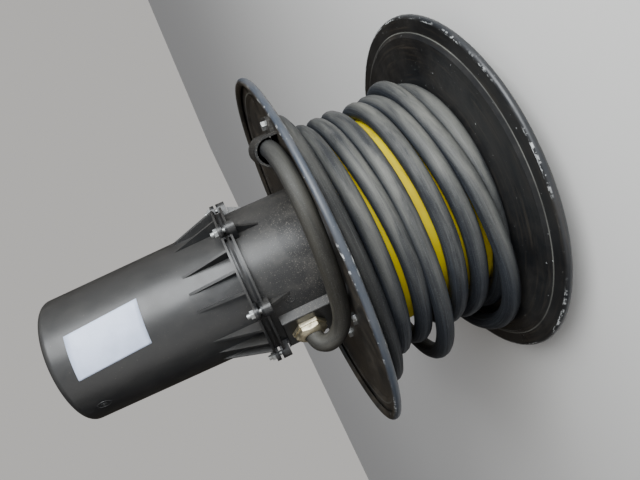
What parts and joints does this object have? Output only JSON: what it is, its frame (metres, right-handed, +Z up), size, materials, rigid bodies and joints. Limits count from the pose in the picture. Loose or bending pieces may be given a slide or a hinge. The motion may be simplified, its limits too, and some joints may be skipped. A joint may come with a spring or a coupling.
{
  "type": "cable reel",
  "caption": "Cable reel: two pressed black discs and a yellow drum wound with heavy rubber cable, a long moulded slip ring housing on one side and a hollow mounting shaft on the other.",
  "frame": {"origin": "centre of the shaft's mounting face, on the axis, on which the reel stands", "axes": "+Z up along the axis, away from the mounting face; +X towards the side that is uppermost when the reel lies on its two rims with the gland at the front"},
  "size_m": [0.6, 0.6, 0.727],
  "materials": {
    "disc_black": "semi-gloss black paint, chipped at the rim",
    "drum_yellow": "gloss yellow paint",
    "cable_rubber": "dusty grey-black rubber sheath",
    "housing_black": "satin black moulded plastic, dusty",
    "seal_rubber": "black rubber",
    "gland_brass": "nickel-plated brass, tarnished",
    "shaft_steel": "turned steel",
    "bearing_iron": "black painted cast iron",
    "zinc_steel": "zinc-plated steel"
  },
  "bodies": {
    "mounting": {"mounting_shaft": "shaft_steel", "retaining_ring": "shaft_steel"},
    "spool": {"near_disc": "disc_black", "far_disc": "disc_black", "drum": "drum_yellow", "wound_cable": "cable_rubber", "lead_cable": "cable_rubber", "lead_hood": "housing_black", "housing_base": "housing_black", "housing_cover": "housing_black", "housing_seal": "seal_rubber", "gland_body": "gland_brass", "gland_nut": "gland_brass", "gland_locknut": "gland_brass", "near_bearing": "bearing_iron", "far_bearing": "bearing_iron", "disc_screws": "zinc_steel", "bearing_screws": "zinc_steel", "clamp_screws": "zinc_steel", "clamp_nuts": "zinc_steel", "hood_screws": "zinc_steel"}
  },
  "joints": [
    {"name": "reel_spin", "type": "hinge", "parent": "mounting", "child": "spool", "pos_m": [0, 0, 0.175], "axis": [0, 0, 1], "continuous": true}
  ]
}
